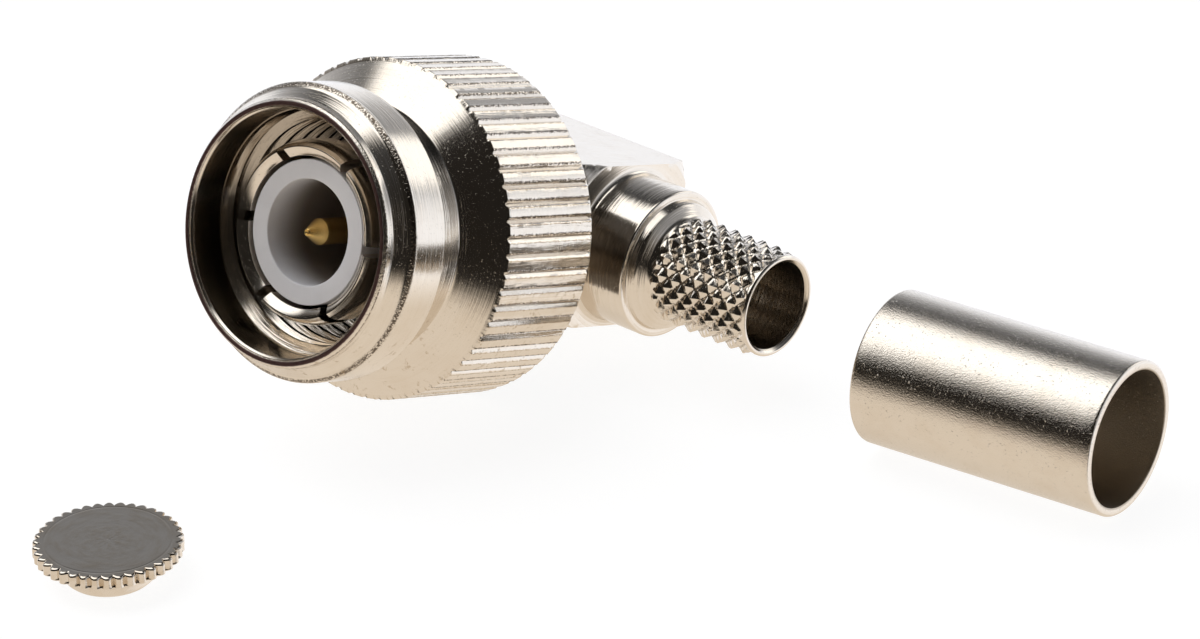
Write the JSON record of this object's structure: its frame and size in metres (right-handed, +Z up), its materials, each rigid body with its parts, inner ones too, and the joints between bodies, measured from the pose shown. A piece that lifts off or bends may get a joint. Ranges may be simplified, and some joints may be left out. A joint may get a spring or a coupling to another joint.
{
  "type": "right-angle coaxial crimp connector",
  "caption": "Right-angle threaded coaxial plug with knurled coupling nut, slotted outer contact, gilt centre pin, knurled crimp stem, loose serrated cap and loose crimp ferrule.",
  "frame": {"origin": "middle of the base of the whole object, on the floor that it lies on", "axes": "+Z up from the floor, +X along the loose ferrule, the way the crimp stem points within 7 degrees; the plug's open front faces -Y and up"},
  "size_m": [0.0414, 0.0392, 0.0176],
  "materials": {
    "bright_nickel": "bright nickel plate on turned brass",
    "tumbled_nickel": "tumbled satin nickel plate",
    "gold_plate": "gold plate on brass",
    "white_insulator": "turned white fluoroplastic",
    "spring_bronze": "spring bronze",
    "silicone": "moulded silicone"
  },
  "bodies": {
    "plug": {"outer_contact": "bright_nickel", "elbow_body": "bright_nickel", "front_insulator": "white_insulator", "rear_insulator": "white_insulator", "centre_pin": "gold_plate", "snap_ring": "spring_bronze", "gasket": "silicone", "cap": "bright_nickel", "ferrule": "tumbled_nickel"},
    "nut": {"coupling_nut": "bright_nickel"}
  },
  "joints": [
    {"name": "nut_spin", "type": "hinge", "parent": "plug", "child": "nut", "pos_m": [-0.01365, -0.00362, 0.01163], "axis": [0.1116, 0.9314, -0.3466], "continuous": true}
  ]
}
